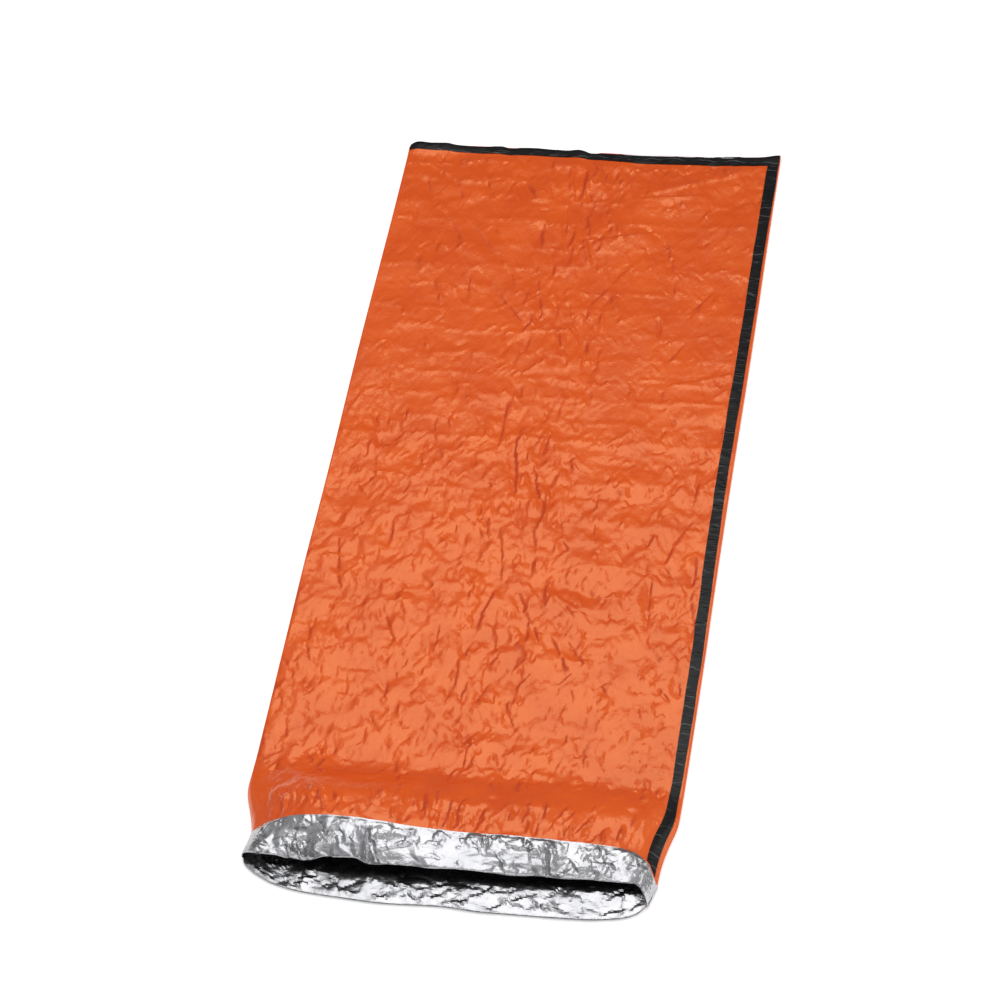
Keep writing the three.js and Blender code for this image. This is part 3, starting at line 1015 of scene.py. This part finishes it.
def build_film():
    """The film's skin, its columns and rows with the upper outer points, and the share of painted shade at
    each point where it is steep
    """
    skin = Skin()
    columns = shares_across(COLUMN_STEP)
    even_backs = np.arange(EDGE_DISTANCES[-1], LENGTH - MOUTH_START, ROW_STEP)
    backs = np.concatenate([EDGE_DISTANCES[:-1], even_backs])
    ways = np.linspace(0, 1, round(RISE_LENGTH / ROW_STEP) + 1)
    few = np.linspace(-1, 1, HIDDEN_COLUMNS)
    front = lower_columns(LOWER_STEP)

    upper, lower, painted_shade_share = outer_face(columns, backs, ways)
    outside = skin.rings(zip(upper, lower))
    turn = skin.rings(hidden_turn(columns, few))
    face, face_ways, fine = cuff_face(columns)
    face_lower = [cuff_bottom(few if way < NEAR_LIP else front, way, 0.0) for way in face_ways]
    cuff = skin.rings(zip(face, face_lower))
    inner_columns = shares_across(SEEN_COLUMN_STEP)
    near = np.arange(0, SEEN_DEPTH, INNER_STEP) / MOUTH_START
    near_top = inner_surface(inner_columns, near)
    near_lower = lower_surface(front, near * MOUTH_START)
    beyond = np.arange(DEEP_START, MOUTH_START, DEEP_STEP) / MOUTH_START
    beyond_top = inner_surface(shares_across(DEEP_COLUMN_STEP), beyond)
    beyond_lower = lower_surface(few, beyond * MOUTH_START)
    mouth = skin.rings([*zip(near_top, near_lower), *zip(beyond_top, beyond_lower)])
    lip = skin.rings(lip_between(face, near_top, fine, inner_columns, front, near_lower[0]))
    inside = skin.rings(flat_inside(np.linspace(-1, 1, INSIDE_COLUMNS)))

    skin.sweep(outside, MAP_ORANGE, ORANGE)
    skin.sweep([outside[-1], *turn], MAP_HIDDEN, ORANGE)
    skin.join(turn[-1], cuff[0], (0, 1), [MAP_RIM, MAP_RIM], SILVER)
    skin.sweep(cuff, MAP_CUFF, SILVER)
    skin.sweep([cuff[-1], *lip, mouth[0]], MAP_LIP, SILVER)
    skin.sweep(mouth, MAP_MOUTH, SILVER)
    skin.sweep([mouth[-1], *inside], MAP_INSIDE, SILVER)
    skin.cap(outside[0], MAP_RIM, ORANGE, flip=True)
    skin.cap(inside[-1], MAP_RIM, SILVER, flip=False)
    # Painted shade for the upper outer points, from how steep they are
    painted_shade = np.zeros(skin.count)
    painted_shade[np.concatenate([ring["top"] for ring in outside])] = painted_shade_share.ravel()
    return skin, columns, backs, ways, upper, painted_shade


def inner_surface(shares, depths):
    """The upper film's inner face, by depth from the lip as a share of the mouth's length"""
    turn = CUFF_LENGTH / (CUFF_LENGTH + RISE_LENGTH)
    rows = []
    for depth in depths:
        if depth < turn:
            rows.append(cuff_top(shares, 1 - depth / turn + 0 * shares))
        else:
            rows.append(rise_top(shares, 1 - (depth - turn) / (1 - turn) + 0 * shares))
    base = np.array(rows)
    drop = lerp(FILM, INNER_DROP, ease(depths, 0.5 * turn, turn))[:, None, None]
    return base - normals(base[::-1])[::-1] * drop


def cuff_relief(xs, ys):
    """Crumples of the cuff's silver face, all of them outward"""
    relief = Relief(xs, ys, wander=3, wander_size=22, seed=41)
    relief.height += relief.facets(step_x=42, step_y=20, height=4.0, seed=42, slant=8)
    relief.height += relief.facets(step_x=19, step_y=10, height=1.3, seed=43, slant=4)
    whole, edge = (-440, 440, 0, CUFF_LENGTH), (-440, 440, 0, 30)
    relief.scatter(whole, count=110, angle=50, spread=40, length=44, height=1.8, width=7, seed=44)
    relief.scatter(edge, count=120, angle=90, spread=20, length=26, height=1.0, width=5, seed=45)
    for crease in zip(*CUFF_CREASES.values()):
        relief.crease(*crease)
    height = np.maximum(CUFF_CRUMPLE + relief.height, CUFF_LEAST)
    height = height * lerp(0.4, 1, ease(relief.y, *CUFF_EDGE_CALM))
    return height * lerp(0.1, 1, ease(HALF_WIDTH - np.abs(relief.x), *CUFF_SIDE_CALM))


def fold_reach(side, y):
    """How far from the middle the left or right fold lies at y, from the flat bag to the lip"""
    edge_x, edge_y, lip_x, lip_y = (at_fold(name, side) for name in ("edge_x", "edge_y", "lip_x", "lip_y"))
    way = (MOUTH_START - y) / (MOUTH_START - edge_y)
    on_rise = lerp(half_width(side, y), abs(edge_x), ease(way, *EDGE_TURN))
    return lerp(on_rise, abs(lip_x), np.clip((edge_y - y) / (edge_y - lip_y), 0, 1))


def lower_surface(shares, depths):
    """The silver face of the lower film, from its lip inward"""
    share, depth = np.meshgrid(shares, depths)
    lip_x, lip_y = lower_lip(share)
    way = depth / MOUTH_START
    side_y = lerp(lip_y, MOUTH_START, way)
    x = lerp(lip_x, share * (half_width(share, side_y) - 4), ease(way, 0.0, 0.7))
    inset = INNER_DROP * ease(depths, 0, 60)
    for side, column in ((-1, 0), (1, -1)):
        excess = np.abs(x[:, column]) - fold_reach(side, side_y[:, column]) + inset
        x = x - side * np.maximum(excess, 0)[:, None] * np.clip(side * share, 0, 1) ** 8
    distance = (shares + 1) / 2 * LIP_RUN[-1]
    relief = Relief(distance, depths, wander=4, wander_size=26, seed=51)
    relief.height += relief.facets(step_x=58, step_y=13, height=2.6, seed=52, slant=9)
    relief.height += relief.facets(step_x=24, step_y=8, height=1.0, seed=53, slant=6)
    box = (0, distance[-1], 0, 150)
    relief.scatter(box, count=260, angle=12, spread=22, length=50, height=1.8, width=6, seed=54)
    height = np.maximum(LOWER_CRUMPLE + relief.height, LOWER_LEAST)
    from_side = np.minimum(distance, distance[-1] - distance)[None, :]
    height = height * lerp(0.1, 1, ease(from_side, *LOWER_SIDE_CALM))
    height = height * lerp(0.45, 1, ease(depth, *LOWER_LIP_CALM))
    height = height * lerp(1, 0.3, ease(depth, *LOWER_DEPTH_CALM))
    raw_y = cuff_bottom_place(share, 0)[1]
    base = FILM + CUFF_STACK * ease((MOUTH_START - side_y) / (MOUTH_START - raw_y), *LOWER_RAMP)
    fold_z = lerp(at_fold("lip_z", share), FOLD_TIP, way) - CUFF_STACK
    lift = corner_lift(share, fold_z, base)
    roll = LIP_HEIGHT * 0.4 * np.exp(-((depth / 14) ** 2))
    return np.stack([x, side_y, base + roll + height + lift], -1)


def lip_between(face, inner_top, fine, inner_columns, front, lower_lip):
    """Upper and lower points that round the lip from the cuff's face to the inner face"""
    outer = face[-1]
    before = face[-3]
    inner = np.stack([np.interp(fine, inner_columns, inner_top[0][:, axis]) for axis in range(3)], -1)
    forward = outer - before
    forward /= np.linalg.norm(forward, axis=-1, keepdims=True)
    under = cuff_bottom(front, 1.0, 0.0)
    out = np.stack([np.gradient(under[:, 1]), -np.gradient(under[:, 0])], -1)
    out /= np.linalg.norm(out, axis=-1, keepdims=True)
    pairs = []
    for angle in np.radians(LIP_ANGLES):
        middle, half = (outer + inner) / 2, (outer - inner) / 2
        radius = np.linalg.norm(half, axis=-1, keepdims=True)
        top = middle + half * math.sin(angle) + forward * radius * math.cos(angle)
        low_middle, low_half = (under + lower_lip) / 2, (lower_lip - under) / 2
        bulge = np.linalg.norm(low_half, axis=-1, keepdims=True) * math.cos(angle) * LIP_FLATNESS
        bottom = low_middle - low_half * math.sin(angle)
        bottom[:, :2] += out * bulge
        pairs.append((top, bottom))
    return pairs


film_skin, film_columns, film_backs, film_ways, film_upper, film_painted_shade = build_film()


def finish_mesh(mesh, materials, sharp):
    for material in materials:
        mesh.materials.append(material)
    mesh.set_sharp_from_angle(angle=math.radians(sharp))
    thing = bpy.data.objects.new(mesh.name, mesh)
    bpy.context.scene.collection.objects.link(thing)
    return thing


def tape_mesh(name, under, over):
    """A closed strip between two grids of points with the same rows and columns"""
    rows, count = under.shape[:2]
    points = np.concatenate([over.reshape(-1, 3), under.reshape(-1, 3)])
    top = np.arange(rows * count).reshape(rows, count)
    low = top + rows * count

    def quads(a, flip):
        faces = np.stack([a[:-1, :-1], a[1:, :-1], a[1:, 1:], a[:-1, 1:]], -1).reshape(-1, 4)
        return faces[:, ::-1] if flip else faces

    def wall(a, b):
        return np.stack([a[:-1], a[1:], b[1:], b[:-1]], -1)

    faces = np.concatenate(
        [
            quads(top, False),
            quads(low, True),
            wall(low[:, 0], top[:, 0]),
            wall(top[:, -1], low[:, -1]),
            wall(top[0], low[0]),
            wall(low[-1], top[-1]),
        ]
    )
    mesh = bpy.data.meshes.new(name)
    mesh.from_pydata(to_frame(points).tolist(), [], faces.tolist())
    mesh.polygons.foreach_set("use_smooth", np.ones(len(faces), bool))
    return mesh


def on_film(shares, rows):
    """Places on the upper film and the directions out of it, by share across and row number"""
    upward = normals(film_upper)
    row = np.clip(np.floor(rows).astype(int), 0, len(film_upper) - 2)
    column = np.clip(np.searchsorted(film_columns, shares) - 1, 0, len(film_columns) - 2)
    v = (rows - row)[..., None]
    u = ((shares - film_columns[column]) / (film_columns[column + 1] - film_columns[column]))[..., None]

    def read(values):
        low = lerp(values[row, column], values[row, column + 1], u)
        high = lerp(values[row + 1, column], values[row + 1, column + 1], u)
        return lerp(low, high, v)

    direction = read(upward)
    return read(film_upper), direction / np.linalg.norm(direction, axis=-1, keepdims=True)


TAPE_LIFT = 0.45
TAPE_THICKNESS = 0.6
TAPE_ACROSS = np.linspace(0, 1, 8)
SIDE_TAPE_FIRST_ROW = 6
SIDE_TAPE_WANDER = 0.8
SIDE_TAPE_WRINKLE = 1.1
FOOT_TAPE_FOLD = 1.2
FOOT_TAPE_INSETS = (3, 2)
FOOT_TAPE_COLUMNS = 190

# The foot tape bends over the film's edge, except between these places, and reaches out over it by these
FLAT_FROM = (-10, 25)
FLAT_TO = (-290, -230)
BEND_UNDER, BEND_OVER = 2.6, 3.2
BEND_DROP = 0.5


def side_tape_mesh():
    """The tape along the right side, from the foot tape into the mouth"""
    rows = np.arange(SIDE_TAPE_FIRST_ROW, len(film_upper) - 1, dtype=float)
    all_ys = np.concatenate([LENGTH - film_backs, MOUTH_START - film_ways * RISE_LENGTH])
    y = all_ys[rows.astype(int)]
    inner = curve(SIDE_TAPE, "inner", y) + SIDE_TAPE_WANDER * noise(y, 0 * y, 45, 61)
    outer = curve(SIDE_TAPE, "outer", y) + SIDE_TAPE_WANDER * noise(y, 0 * y, 60, 62)
    distance = lerp(inner[:, None], outer[:, None], TAPE_ACROSS[None, :])
    shares = 1 - distance / HALF_WIDTH
    points, upward = on_film(shares, np.broadcast_to(rows[:, None], shares.shape))
    wrinkle = tape_wrinkles(y, TAPE_ACROSS)
    under = points + upward * TAPE_LIFT
    over = points + upward * (TAPE_LIFT + TAPE_THICKNESS + wrinkle)[..., None]
    return tape_mesh("side_tape_strip", under, over)


def tape_wrinkles(y, across):
    """Thin ridges across the tape, in loose groups"""
    along, side = np.meshgrid(y, across, indexing="ij")
    slant = along + 14 * side
    ridges = np.clip(noise(slant, 0 * slant, 9, 63), 0, 1) ** 2
    groups = ease(noise(along, 0 * along, 70, 64), -0.4, 0.5)
    return SIDE_TAPE_WRINKLE * ridges * groups


def foot_tape_mesh():
    """The tape along the foot"""
    left, right = (inset / HALF_WIDTH for inset in FOOT_TAPE_INSETS)
    columns = np.linspace(-1 + left, 1 - right, FOOT_TAPE_COLUMNS)
    x = columns * HALF_WIDTH
    width = curve(FOOT_TAPE, "width", x)
    beyond = curve(FOOT_TAPE, "beyond", x)
    across = TAPE_ACROSS[:, None]
    back = beyond[None, :] + width[None, :] * across
    rows = np.interp(back, film_backs, np.arange(len(film_backs)))
    points, upward = on_film(np.broadcast_to(columns, rows.shape), rows)
    folds = FOOT_TAPE_FOLD * np.clip(noise(x[None, :] + 26 * across, 0 * back, 17, 65), 0, 1) ** 2
    under = points + upward * TAPE_LIFT
    over = points + upward * (TAPE_LIFT + TAPE_THICKNESS + folds)[..., None]
    bent = 1 - ease(x, *FLAT_FROM) * ease(-x, *FLAT_TO)
    for face, out in ((under, BEND_UNDER), (over, BEND_OVER)):
        face[0, :, 1] += out * bent
        face[0, :, 2] -= BEND_DROP * bent
    return tape_mesh("foot_tape_strip", under, over)


# Materials


def new_material(name):
    material = bpy.data.materials.new(name)
    material.use_nodes = True
    return material, material.node_tree, material.node_tree.nodes["Principled BSDF"]


def fill(made, sockets):
    """Sets a node's sockets to values, or links them to other nodes' sockets"""
    for name, value in sockets.items():
        if isinstance(value, bpy.types.NodeSocket):
            made.id_data.links.new(value, made.inputs[name])
        else:
            made.inputs[name].default_value = value


def node(tree, kind, sockets, **settings):
    made = tree.nodes.new(kind)
    for name, value in settings.items():
        setattr(made, name, value)
    fill(made, sockets)
    return made


def object_place(tree):
    return node(tree, "ShaderNodeTexCoord", {}).outputs["Object"]


def scaled(tree, vector, scale, turn):
    sockets = {"Vector": vector, "Scale": scale, "Rotation": (0, 0, math.radians(turn))}
    return node(tree, "ShaderNodeMapping", sockets).outputs[0]


def noise_node(tree, vector, scale, detail, kind="FBM"):
    sockets = {"Vector": vector, "Scale": scale, "Detail": detail, "Roughness": 0.5}
    return node(tree, "ShaderNodeTexNoise", sockets, noise_type=kind).outputs[0]


def bumps(tree, *layers):
    """A normal with layers of height, each with its distance in metres"""
    before = {}
    for height, distance in layers:
        sockets = {"Strength": 1.0, "Distance": distance, "Height": height, **before}
        before = {"Normal": node(tree, "ShaderNodeBump", sockets).outputs[0]}
    return before["Normal"]


def ramp(tree, value, low, high, start=0.0, end=1.0):
    sockets = {"Value": value, "From Min": low, "From Max": high, "To Min": start, "To Max": end}
    return node(tree, "ShaderNodeMapRange", sockets).outputs[0]


def mix_colours(tree, share, first, second):
    sockets = {"Factor": share}
    for name, colour in (("A", first), ("B", second)):
        sockets[name] = colour if isinstance(colour, bpy.types.NodeSocket) else (*colour, 1)
    return node(tree, "ShaderNodeMix", sockets, data_type="RGBA").outputs["Result"]


ORANGE_LIGHT = (0.82, 0.104, 0.0105)
ORANGE_DEEP = (0.75, 0.083, 0.009)
# A darker orange, painted on steep slopes as shade
ORANGE_PAINTED_SHADE = (0.62, 0.055, 0.009)
ORANGE_GLOSS = (1.0, 0.71, 0.38)
SILVER_LIGHT = (0.49, 0.485, 0.49)
SILVER_DULL = (0.39, 0.395, 0.42)
TAPE_BLACK = (0.0055, 0.005, 0.0055)
TAPE_GREY = (0.009, 0.009, 0.010)
# Grey painted as highlights on the tape's wrinkles
TAPE_PAINTED_HIGHLIGHT = (0.07, 0.07, 0.072)


def orange_material():
    """Glossy film with small facets, with shade painted into its colour where it is steep"""
    material, tree, shader = new_material("film_orange")
    place = object_place(tree)
    patches = noise_node(tree, place, scale=9, detail=3)
    plain = mix_colours(tree, ramp(tree, patches, 0.35, 0.65), ORANGE_LIGHT, ORANGE_DEEP)
    # Painted shade: how much of the darker orange is painted where the film slopes steeply
    painted_shade = node(tree, "ShaderNodeAttribute", {}, attribute_name="painted_shade_share").outputs["Fac"]
    soft = noise_node(tree, scaled(tree, place, (1.0, 0.6, 1.0), 10), scale=48, detail=2)
    long_place = scaled(tree, place, (1.0, 0.55, 1.0), -8)
    crumple = noise_node(tree, long_place, scale=85, detail=2, kind="RIDGED_MULTIFRACTAL")
    fine = noise_node(tree, place, scale=180, detail=2)
    sockets = {
        "Base Color": mix_colours(tree, painted_shade, plain, ORANGE_PAINTED_SHADE),
        "Roughness": ramp(tree, patches, 0.3, 0.7, 0.17, 0.25),
        "Specular IOR Level": 1.0,
        "Specular Tint": (*ORANGE_GLOSS, 1),
        "Normal": bumps(tree, (soft, 0.0014), (crumple, 0.0006), (fine, 0.0004)),
    }
    fill(shader, sockets)
    return material


def silver_material():
    """Metallised film, crumpled into small facets"""
    material, tree, shader = new_material("film_silver")
    place = object_place(tree)
    patches = noise_node(tree, place, scale=16, detail=3)
    crumple = noise_node(tree, scaled(tree, place, (0.45, 1.0, 1.0), 12), scale=90, detail=2)
    fine = noise_node(tree, place, scale=220, detail=2)
    sockets = {
        "Base Color": mix_colours(tree, patches, SILVER_LIGHT, SILVER_DULL),
        "Metallic": 1.0,
        "Roughness": ramp(tree, patches, 0.3, 0.7, 0.21, 0.31),
        "Normal": bumps(tree, (crumple, 0.0012), (fine, 0.0004)),
    }
    fill(shader, sockets)
    return material


def tape_material():
    """Glossy black tape with thin wrinkles, some of them with thin grey highlights painted into the colour
    """
    material, tree, shader = new_material("tape_black")
    place = object_place(tree)
    patches = noise_node(tree, place, scale=30, detail=3)
    plain = mix_colours(tree, patches, TAPE_BLACK, TAPE_GREY)
    waves = {"Vector": place, "Scale": 13, "Distortion": 3.5, "Detail": 2, "Detail Scale": 2}
    lines = node(tree, "ShaderNodeTexWave", waves, bands_direction="Y").outputs["Fac"]
    thin = ramp(tree, lines, 0.955, 0.995)
    some = ramp(tree, noise_node(tree, place, scale=28, detail=1), 0.42, 0.6)
    # Painted highlight: thin grey lines on some of the wrinkles
    painted_highlight = node(tree, "ShaderNodeMath", {0: thin, 1: some}, operation="MULTIPLY").outputs[0]
    long_place = scaled(tree, place, (40, 150, 1), 12)
    wrinkle = noise_node(tree, long_place, scale=1, detail=2, kind="RIDGED_MULTIFRACTAL")
    sockets = {
        "Base Color": mix_colours(tree, painted_highlight, plain, TAPE_PAINTED_HIGHLIGHT),
        "Roughness": ramp(tree, patches, 0.3, 0.7, 0.22, 0.36),
        "Specular IOR Level": 0.2,
        "Normal": bumps(tree, (wrinkle, 0.0012)),
    }
    fill(shader, sockets)
    return material


# Edges are shaded sharp where they turn by more than this
FILM_SHARP = 14
TAPE_SHARP = 50

orange = orange_material()
silver = silver_material()
black = tape_material()

film_mesh = film_skin.mesh("film_sheet")
film = finish_mesh(film_mesh, [orange, silver], FILM_SHARP)
# The share of painted shade at each point of the film, from how steep it is there
attribute = film_mesh.attributes.new("painted_shade_share", "FLOAT", "POINT")
attribute.data.foreach_set("value", film_painted_shade.astype(np.float32))

side_tape = finish_mesh(side_tape_mesh(), [black], TAPE_SHARP)
foot_tape = finish_mesh(foot_tape_mesh(), [black], TAPE_SHARP)

for piece, slot, replaced in (
    (film, "film", "film"),
    (side_tape, "tape", "side_tape"),
    (foot_tape, "tape", "foot_tape"),
):
    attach(piece, "root")
    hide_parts(replaced)


FLOOR_HALF = 30


def floor_stage():
    """A wide plain pale floor"""
    corners = [(x * FLOOR_HALF, y * FLOOR_HALF, 0) for x, y in ((-1, -1), (1, -1), (1, 1), (-1, 1))]
    mesh = bpy.data.meshes.new("floor")
    mesh.from_pydata(corners, [], [range(4)])
    material, _, shader = new_material("floor_white")
    sockets = {
        "Base Color": (0.93, 0.93, 0.93, 1),
        "Roughness": 0.9,
        "Specular IOR Level": 0.0,
        "Emission Color": (1, 1, 1, 1),
        "Emission Strength": 0.35,
    }
    fill(shader, sockets)
    mesh.materials.append(material)
    floor = bpy.data.objects.new("floor", mesh)
    floor.location.z = -0.001
    bpy.context.scene.collection.objects.link(floor)


WORLD_BRIGHTNESS = 0.2
LIGHTS = [
    # name, place, aim, size, brightness
    ("overhead", (-0.375, 0.375, 3.0), (-0.375, 0.375, 0.0), (2.25, 3.75), 1.8),
    ("ceiling", (0.1, 0.2, 3.05), (0.1, 0.2, 0.0), (6.6, 6.4), 0.38),
    ("left_card", (-3.4, -0.5, 1.6), (0.0, -0.5, 0.2), (3.0, 1.6), 0.35),
    ("right_card", (3.6, -0.2, 1.8), (0.0, -0.2, 0.2), (3.0, 1.8), 1.5),
    ("front_card", (0.4, -3.6, 2.6), (0.0, 0.0, 0.0), (3.0, 1.6), 1.4),
]


def area_light(name, place, aim, size, strength):
    """A flat rectangular light of an even brightness, facing the aim"""
    data = bpy.data.lights.new(name, "AREA")
    data.shape = "RECTANGLE"
    data.size, data.size_y = size
    data.energy = strength * size[0] * size[1] * math.pi
    light = bpy.data.objects.new(name, data)
    light.location = place
    light.rotation_euler = (Vector(aim) - Vector(place)).to_track_quat("-Z", "Y").to_euler()
    bpy.context.scene.collection.objects.link(light)


def world_light(brightness):
    world = bpy.data.worlds.new("studio")
    world.use_nodes = True
    background = world.node_tree.nodes["Background"]
    background.inputs["Color"].default_value = (1, 1, 1, 1)
    background.inputs["Strength"].default_value = brightness
    bpy.context.scene.world = world


# The camera was found from the bag's corners and the mouth's points in the photo
CAMERA_PLACE = (1.641, -4.8904, 6.5343)
CAMERA_AZIMUTH = -19.059
CAMERA_DOWN = 51.578
CAMERA_ROLL = -11.978
CAMERA_LENS = 133.52


def photo_camera():
    azimuth, down, roll = (math.radians(a) for a in (CAMERA_AZIMUTH, CAMERA_DOWN, CAMERA_ROLL))
    right = Vector((math.cos(azimuth), -math.sin(azimuth), 0))
    level = math.cos(down)
    ahead = Vector((math.sin(azimuth) * level, math.cos(azimuth) * level, -math.sin(down)))
    up = right.cross(ahead)
    turned_right = right * math.cos(roll) + up * math.sin(roll)
    turned_up = up * math.cos(roll) - right * math.sin(roll)
    data = bpy.data.cameras.new("photo_camera")
    data.lens = CAMERA_LENS
    data.sensor_width = 36
    data.clip_end = 100
    camera = bpy.data.objects.new("photo_camera", data)
    axes = Matrix((turned_right, turned_up, -ahead)).transposed().to_4x4()
    camera.matrix_world = Matrix.Translation(CAMERA_PLACE) @ axes
    bpy.context.scene.collection.objects.link(camera)
    bpy.context.scene.camera = camera


floor_stage()
world_light(WORLD_BRIGHTNESS)
for light in LIGHTS:
    area_light(*light)
photo_camera()
bpy.context.scene.view_settings.view_transform = "Standard"
